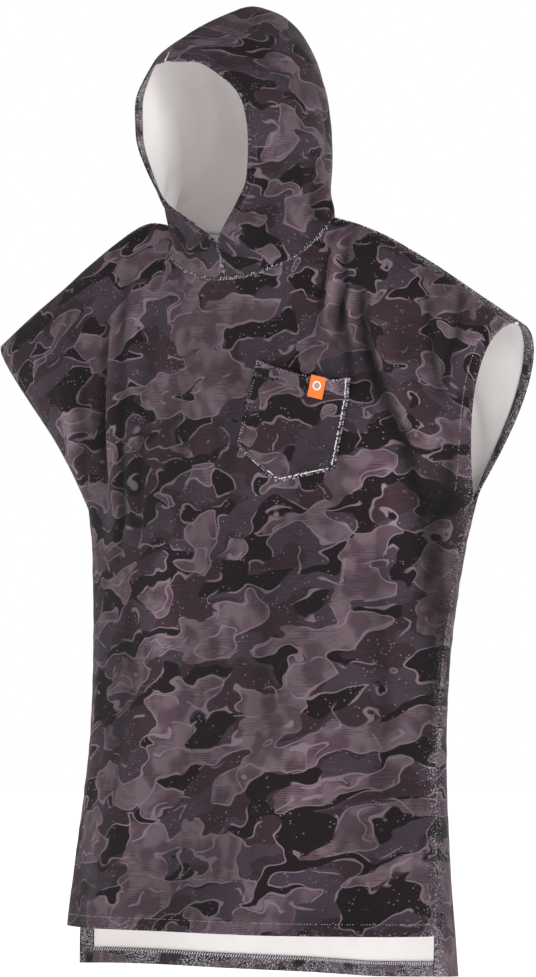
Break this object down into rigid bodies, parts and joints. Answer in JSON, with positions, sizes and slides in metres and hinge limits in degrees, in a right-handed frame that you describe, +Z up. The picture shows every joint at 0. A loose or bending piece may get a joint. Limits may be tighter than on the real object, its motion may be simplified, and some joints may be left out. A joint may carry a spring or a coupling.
{
  "type": "hooded bath poncho",
  "caption": "Hooded terry bath poncho, filled out as worn: cap sleeves, two-piece hood, patch pocket with a tab, longer back with side slits.",
  "frame": {"origin": "middle of the neck, level with the inner ends of the shoulder seams, where the wearer holds the poncho up", "axes": "+Z up, the front faces -Y, +X is the wearer's left"},
  "size_m": [0.976, 0.4543, 1.4615],
  "materials": {
    "printed_terry": "dark camouflage print on terry, matt, undyed inside",
    "printed_hem": "printed terry turned in, matt, with speckled overlock",
    "tab_weave": "woven tab, slight sheen"
  },
  "bodies": {
    "root": {"front_panel": "printed_terry", "back_panel": "printed_terry", "hood_left": "printed_terry", "hood_right": "printed_terry", "hood_hem_left": "printed_hem", "hood_hem_right": "printed_hem", "sleeve_hem_front_left": "printed_hem", "sleeve_hem_front_right": "printed_hem", "sleeve_hem_back_left": "printed_hem", "sleeve_hem_back_right": "printed_hem", "front_hem": "printed_hem", "back_hem": "printed_hem", "slit_hem_left": "printed_hem", "slit_hem_right": "printed_hem", "pocket": "printed_terry", "pocket_label": "tab_weave"}
  },
  "joints": []
}
